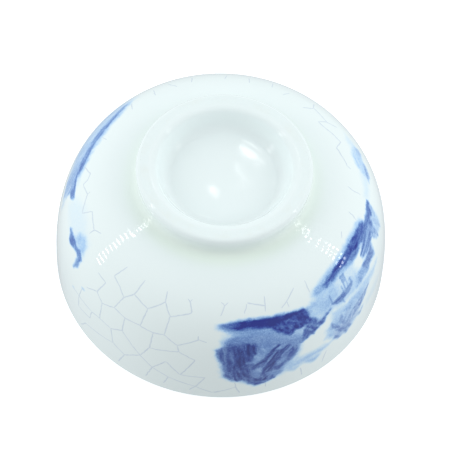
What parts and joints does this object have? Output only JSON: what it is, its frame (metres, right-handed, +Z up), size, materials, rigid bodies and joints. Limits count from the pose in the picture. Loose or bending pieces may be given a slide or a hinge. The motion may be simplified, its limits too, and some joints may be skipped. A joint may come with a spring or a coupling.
{
  "type": "rice bowl",
  "caption": "Deep round porcelain rice bowl with an upright side, rounded lip, wide flared foot ring and a recessed foot well.",
  "frame": {"origin": "centre of the foot's bare land, the flat ring that the bowl stands on", "axes": "+Z up along the bowl's axis, out of its mouth; the bowl is round, so +X and +Y are free, and the painted mountains are on the -Y, -X side"},
  "size_m": [0.115, 0.115, 0.056],
  "materials": {
    "biscuit": "bare fired white clay, fine matt",
    "clear_glaze": "glossy clear glaze over white porcelain",
    "painted_glaze": "glossy clear glaze over white porcelain with a blue underglaze landscape and fine crackle lines"
  },
  "bodies": {
    "root": {"bowl_body": "biscuit", "foot_ring": "biscuit", "outer_glaze": "painted_glaze", "inner_glaze": "clear_glaze", "well_glaze": "clear_glaze"}
  },
  "joints": []
}
